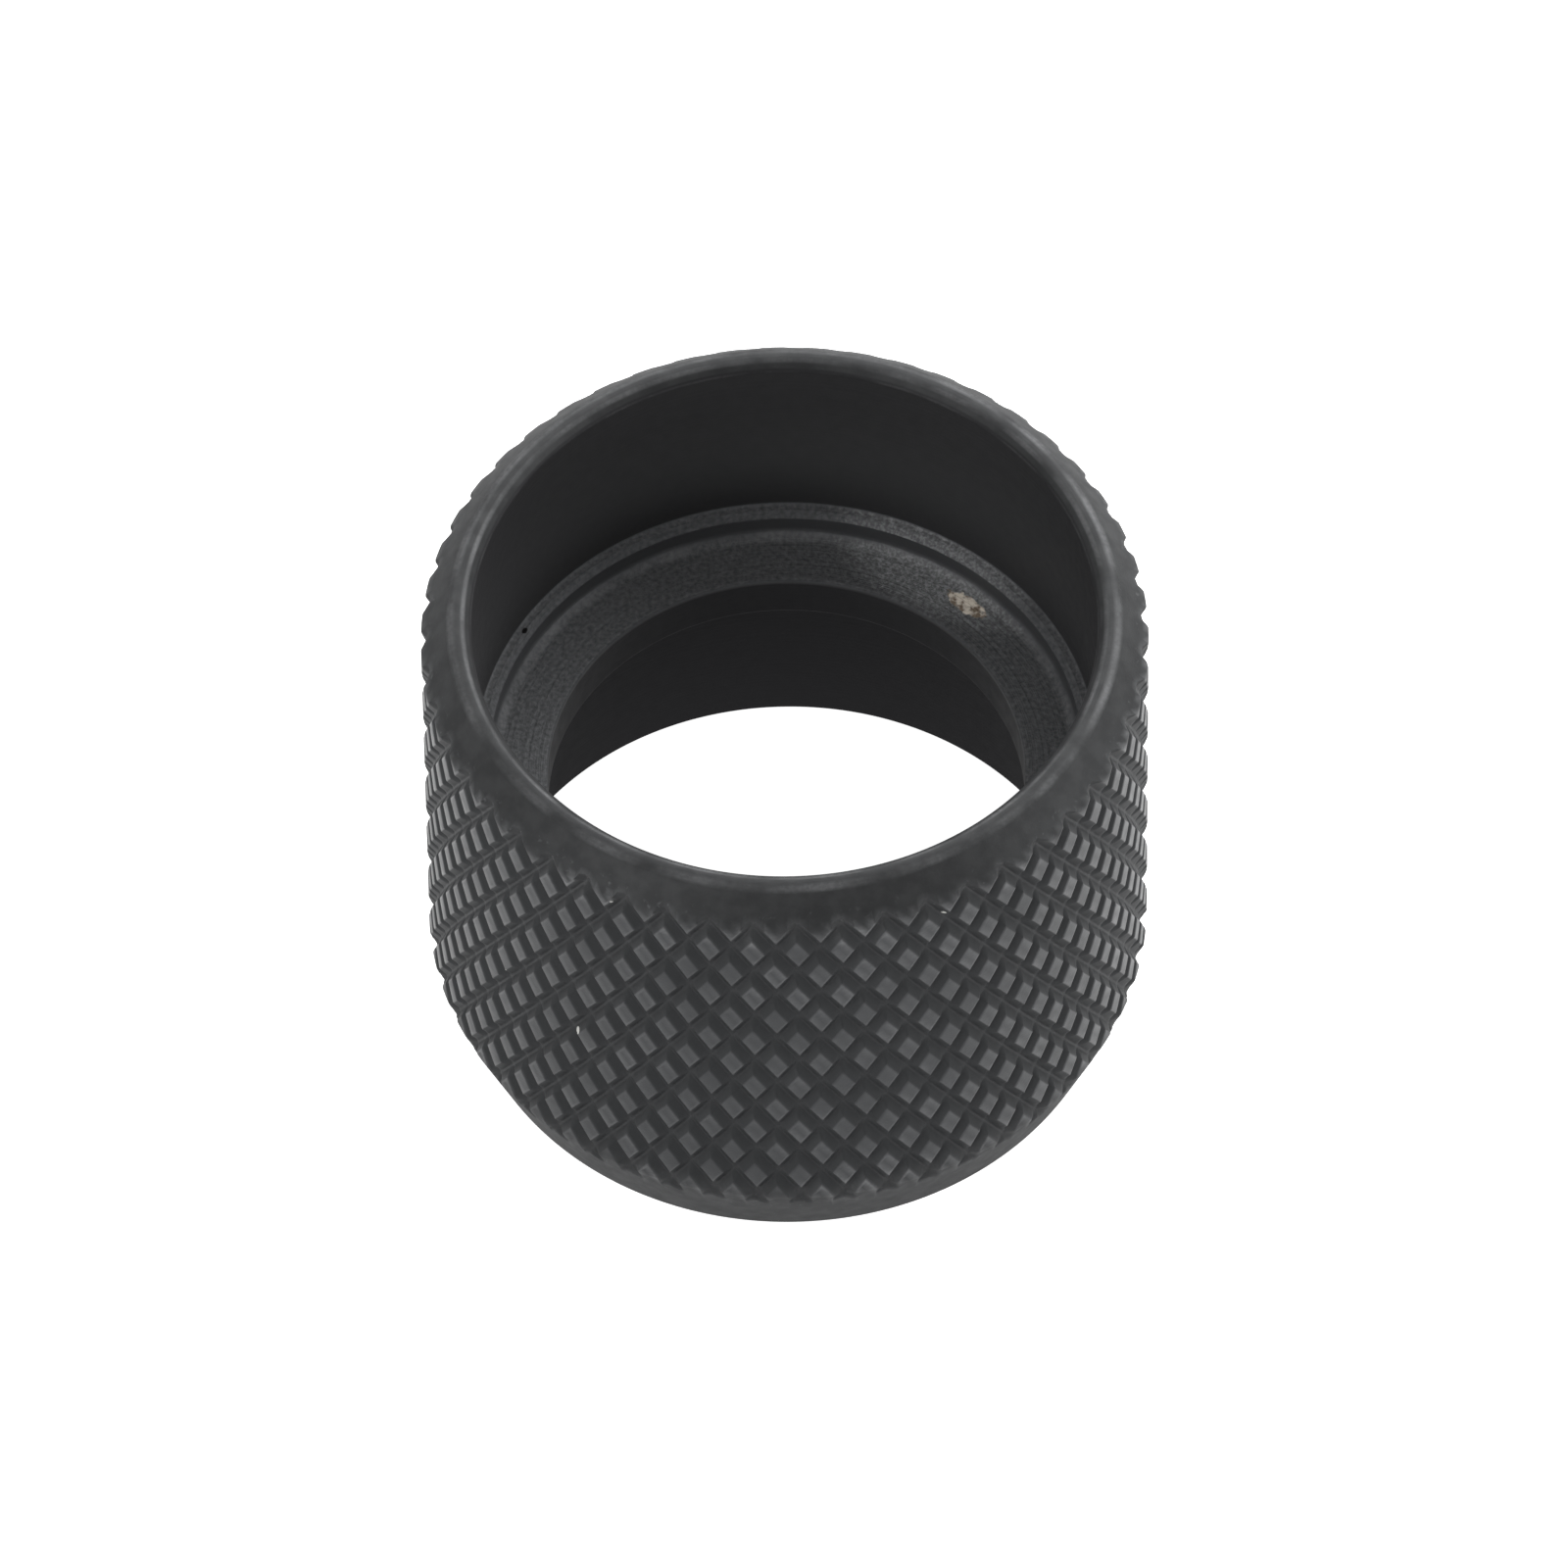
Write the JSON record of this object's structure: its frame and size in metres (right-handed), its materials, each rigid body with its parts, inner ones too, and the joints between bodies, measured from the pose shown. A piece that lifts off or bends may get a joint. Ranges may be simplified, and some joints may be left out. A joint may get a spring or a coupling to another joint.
{
  "type": "drill chuck sleeve",
  "caption": "Knurled steel sleeve of a quick-change drill chuck: a thin wall open at both ends, with a stepped lip inside, a chamfered rim and a tapered foot.",
  "frame": {"origin": "centre of the bottom face, on the sleeve's axis", "axes": "+Z along the sleeve's axis, from the tapered foot to the chamfered rim; -Y is the side that faces the viewer"},
  "size_m": [0.0224, 0.0224, 0.018],
  "materials": {
    "black_oxide_steel": "satin black oxide over turned and knurled steel"
  },
  "bodies": {
    "root": {"knurled_sleeve": "black_oxide_steel"}
  },
  "joints": []
}
